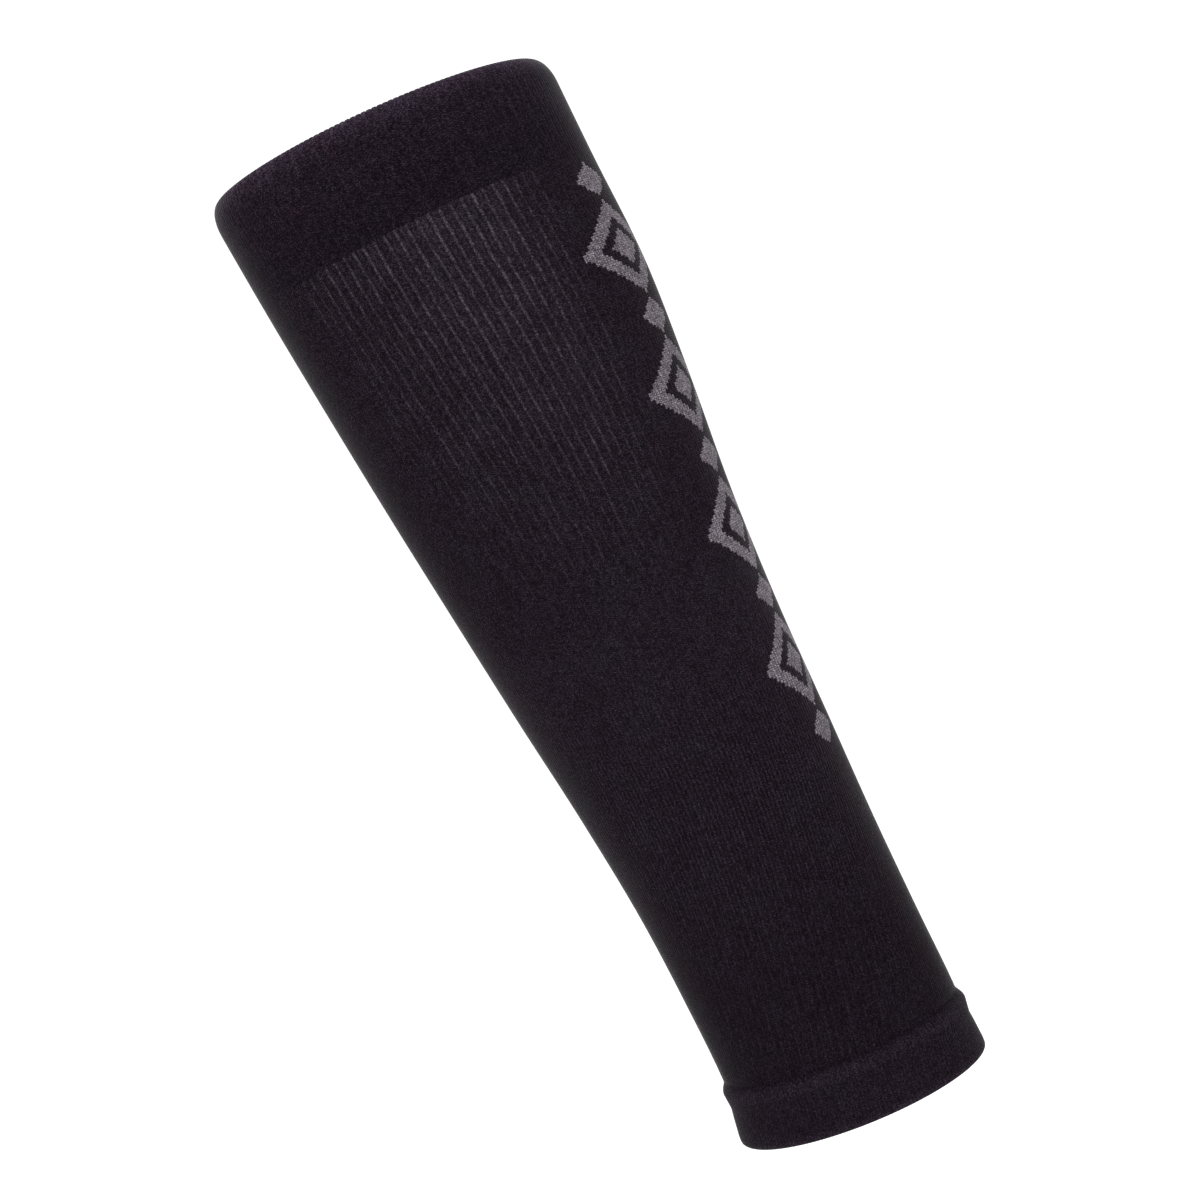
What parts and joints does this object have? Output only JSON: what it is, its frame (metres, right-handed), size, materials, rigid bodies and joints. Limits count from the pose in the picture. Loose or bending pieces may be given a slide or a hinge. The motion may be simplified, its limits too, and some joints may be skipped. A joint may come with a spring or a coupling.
{
  "type": "arm compression sleeve",
  "caption": "Seamless knitted compression sleeve for the forearm: a tapered tube with a doubled elbow band, a ribbed front panel and a doubled wrist cuff.",
  "frame": {"origin": "middle of the elbow opening, at the fold of the upper band", "axes": "+Z along the forearm towards the elbow, -Y out of the ribbed front panel"},
  "size_m": [0.0819, 0.0796, 0.2442],
  "materials": {
    "body_knit": "matt black knit of nylon and elastane, with stitched-in grey figures",
    "welt_knit": "matt black doubled knit"
  },
  "bodies": {
    "root": {"upper_band": "welt_knit", "sleeve_body": "body_knit", "lower_cuff": "welt_knit"}
  },
  "joints": []
}
